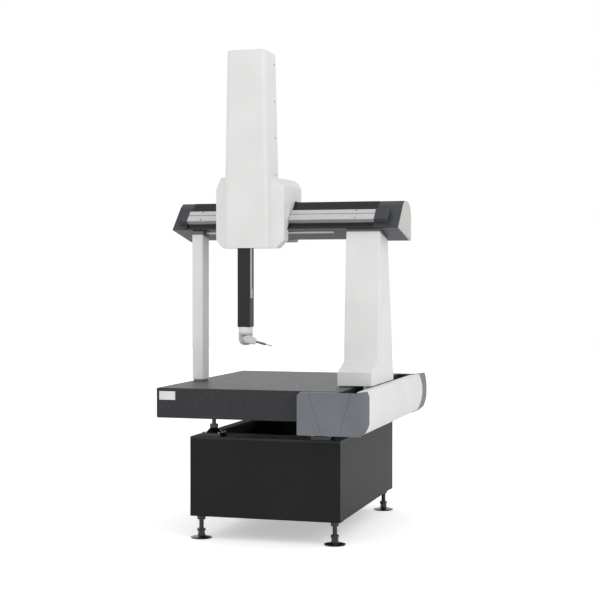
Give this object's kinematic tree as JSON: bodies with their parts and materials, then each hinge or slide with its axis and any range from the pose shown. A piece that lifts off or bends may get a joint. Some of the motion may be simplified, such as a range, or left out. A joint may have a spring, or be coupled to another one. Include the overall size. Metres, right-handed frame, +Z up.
{
  "type": "coordinate_measuring_machine",
  "caption": "Bridge-type coordinate measuring machine: granite table on a steel stand, moving bridge with slanted beam, carriage with tall ram tower and indexing touch-probe head",
  "frame": {"origin": "on the floor, under the centre of the whole machine's box", "axes": "+X to the right along the beam, +Y from the front of the table to the back, +Z up"},
  "size_m": [1.388, 1.624, 2.798],
  "materials": {
    "gloss_black_steel": "gloss black enamel on steel",
    "stand_black": "fine satin black powder coat",
    "stand_deck_grey": "satin dark grey powder coat",
    "bright_steel": "turned bright steel",
    "black_granite": "lapped dark granite with fine pale speckle",
    "guide_granite": "lapped dark granite",
    "scale_steel": "satin steel tape",
    "machined_aluminium": "fine machined aluminium",
    "motor_black": "satin black",
    "belt_rubber": "matt black rubber",
    "white_cover": "satin white paint",
    "drive_cap_grey": "fine textured mid grey plastic",
    "spacer_black": "black anodised",
    "bearing_aluminium": "hard anodised grey",
    "anodised_dark": "dark grey anodised",
    "black_ceramic": "polished black ceramic",
    "beam_cap_grey": "textured dark grey plastic",
    "light_plastic": "smooth light grey plastic",
    "anodised_black": "satin black anodised",
    "white_collar": "satin white paint",
    "head_grey": "satin grey casting",
    "head_light_grey": "satin light grey casting",
    "module_steel": "satin steel"
  },
  "bodies": {
    "machine_base": {"leveling_feet": "gloss_black_steel", "leveling_nuts": "gloss_black_steel", "stand_posts": "stand_black", "stand_rails": "stand_black", "stand_deck": "stand_deck_grey", "stand_end_panels": "stand_black", "stand_side_panels": "stand_black", "jack_bases": "gloss_black_steel", "jack_screws": "bright_steel", "jack_nuts": "gloss_black_steel", "granite_table": "black_granite", "table_inserts": "bright_steel", "y_guide_rail": "guide_granite", "y_scale": "scale_steel", "y_brackets": "machined_aluminium", "y_motor": "motor_black", "y_belt": "belt_rubber", "y_side_cover": "white_cover", "y_front_cap": "drive_cap_grey", "y_rear_cap": "drive_cap_grey"},
    "y_drive_wheel": {"y_motor_pulley": "machined_aluminium"},
    "y_return_wheel": {"y_idler_pulley": "machined_aluminium"},
    "bridge": {"left_column": "white_cover", "beam_spacers": "spacer_black", "right_leg_core": "machined_aluminium", "right_foot_cover": "white_cover", "right_leg_front_cover": "white_cover", "right_leg_rear_cover": "white_cover", "y_truck": "machined_aluminium", "bridge_bearing_pads": "bearing_aluminium", "beam_core": "anodised_dark", "beam_guideways": "black_ceramic", "beam_front_rail": "machined_aluminium", "x_scale": "scale_steel", "beam_left_cap": "beam_cap_grey", "beam_right_cap": "beam_cap_grey", "beam_end_plate": "light_plastic", "x_idler_bracket": "machined_aluminium", "x_motor": "motor_black", "x_belt": "belt_rubber"},
    "x_drive_wheel": {"x_motor_pulley": "machined_aluminium"},
    "x_return_wheel": {"x_idler_pulley": "machined_aluminium"},
    "carriage": {"carriage_frame": "machined_aluminium", "carriage_bearing_pads": "bearing_aluminium", "carriage_cover": "white_cover", "tower_cover": "white_cover", "z_mast": "machined_aluminium", "z_motor": "motor_black", "z_belt": "belt_rubber", "counterbalance_rod": "bright_steel"},
    "z_drive_wheel": {"z_motor_pulley": "machined_aluminium"},
    "z_return_wheel": {"z_idler_pulley": "machined_aluminium"},
    "ram": {"ram": "anodised_black", "z_scale": "scale_steel", "head_adapter": "white_collar"},
    "probe_head": {"head_body": "head_grey"},
    "probe": {"tilt_drum": "head_light_grey", "touch_module": "module_steel", "stylus": "bright_steel"}
  },
  "joints": [
    {"name": "bridge_travel", "type": "slide", "parent": "machine_base", "child": "bridge", "axis": [0, 1, 0], "range_m": [-0.2, 0.6]},
    {"name": "carriage_travel", "type": "slide", "parent": "bridge", "child": "carriage", "axis": [1, 0, 0], "range_m": [-0.16, 0.44]},
    {"name": "ram_travel", "type": "slide", "parent": "carriage", "child": "ram", "axis": [0, 0, 1], "range_m": [-0.09, 0.45]},
    {"name": "head_turn", "type": "hinge", "parent": "ram", "child": "probe_head", "pos_m": [-0.2105, -0.318, 1.157], "axis": [0, 0, 1], "range_deg": [-180, 180]},
    {"name": "head_tilt", "type": "hinge", "parent": "probe_head", "child": "probe", "pos_m": [-0.2105, -0.318, 1.119], "axis": [0.7071, -0.7071, 0], "range_deg": [-75, 25]},
    {"name": "y_drive_spin", "type": "hinge", "parent": "machine_base", "child": "y_drive_wheel", "pos_m": [0.604, 0.734, 0.752], "axis": [1, 0, 0], "continuous": true},
    {"name": "y_return_spin", "type": "hinge", "parent": "machine_base", "child": "y_return_wheel", "pos_m": [0.604, -0.734, 0.752], "axis": [1, 0, 0], "continuous": true},
    {"name": "x_drive_spin", "type": "hinge", "parent": "bridge", "child": "x_drive_wheel", "pos_m": [0.578, 0.042, 1.803], "axis": [0, 0, 1], "continuous": true},
    {"name": "x_return_spin", "type": "hinge", "parent": "bridge", "child": "x_return_wheel", "pos_m": [-0.629, 0.042, 1.803], "axis": [0, 0, 1], "continuous": true},
    {"name": "z_drive_spin", "type": "hinge", "parent": "carriage", "child": "z_drive_wheel", "pos_m": [-0.2105, -0.25, 2.085], "axis": [1, 0, 0], "continuous": true},
    {"name": "z_return_spin", "type": "hinge", "parent": "carriage", "child": "z_return_wheel", "pos_m": [-0.2105, -0.25, 2.735], "axis": [1, 0, 0], "continuous": true}
  ],
  "couplings": [
    {"joint": "y_drive_spin", "follows": "bridge_travel", "rad_per_m": -43.478},
    {"joint": "y_return_spin", "follows": "bridge_travel", "rad_per_m": -43.478},
    {"joint": "x_drive_spin", "follows": "carriage_travel", "rad_per_m": -78.431},
    {"joint": "x_return_spin", "follows": "carriage_travel", "rad_per_m": -78.431},
    {"joint": "z_drive_spin", "follows": "ram_travel", "rad_per_m": -67.797},
    {"joint": "z_return_spin", "follows": "ram_travel", "rad_per_m": -67.797}
  ]
}
